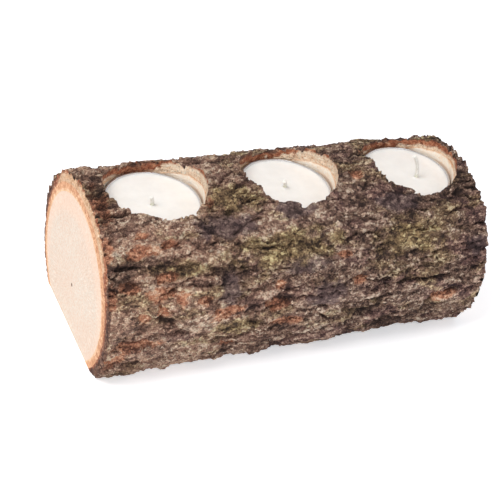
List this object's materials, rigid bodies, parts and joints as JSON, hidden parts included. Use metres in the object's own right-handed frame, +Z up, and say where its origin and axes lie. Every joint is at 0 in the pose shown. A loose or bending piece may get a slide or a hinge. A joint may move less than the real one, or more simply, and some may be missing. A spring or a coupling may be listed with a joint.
{
  "type": "tealight holder",
  "caption": "Short bark-covered log, sawn flat underneath, with a row of round pockets drilled into its top that hold tealights in metal cups.",
  "frame": {"origin": "on the standing surface, under the middle of the log's length and width", "axes": "+X along the log towards the end with the thin wall, +Z up out of the pockets, -Y the front side"},
  "size_m": [0.166, 0.081, 0.068],
  "materials": {
    "wood": "pale sawn and drilled sapwood with fine rays, unfinished",
    "inner_bark": "tan orange inner bark, fibrous, cut matt",
    "bark": "rough furrowed outer bark, dark brown with rust flakes and thin green algae",
    "cup_metal": "thin pressed sheet, bright",
    "wax": "poured white paraffin wax, satin and slightly translucent",
    "wick": "braided cotton cord, waxed",
    "tab_steel": "thin tinned sheet"
  },
  "bodies": {
    "log": {"log_wood": "wood", "inner_bark": "inner_bark", "outer_bark": "bark"},
    "tealight_left": {"cup_left": "cup_metal", "wax_left": "wax", "wick_left": "wick", "wick_tab_left": "tab_steel"},
    "tealight_middle": {"cup_middle": "cup_metal", "wax_middle": "wax", "wick_middle": "wick", "wick_tab_middle": "tab_steel"},
    "tealight_right": {"cup_right": "cup_metal", "wax_right": "wax", "wick_right": "wick", "wick_tab_right": "tab_steel"}
  },
  "joints": [
    {"name": "lift_left", "type": "slide", "parent": "log", "child": "tealight_left", "axis": [0, 0, 1], "range_m": [0, 0.032]},
    {"name": "lift_middle", "type": "slide", "parent": "log", "child": "tealight_middle", "axis": [0, 0, 1], "range_m": [0, 0.032]},
    {"name": "lift_right", "type": "slide", "parent": "log", "child": "tealight_right", "axis": [0, 0, 1], "range_m": [0, 0.032]}
  ]
}
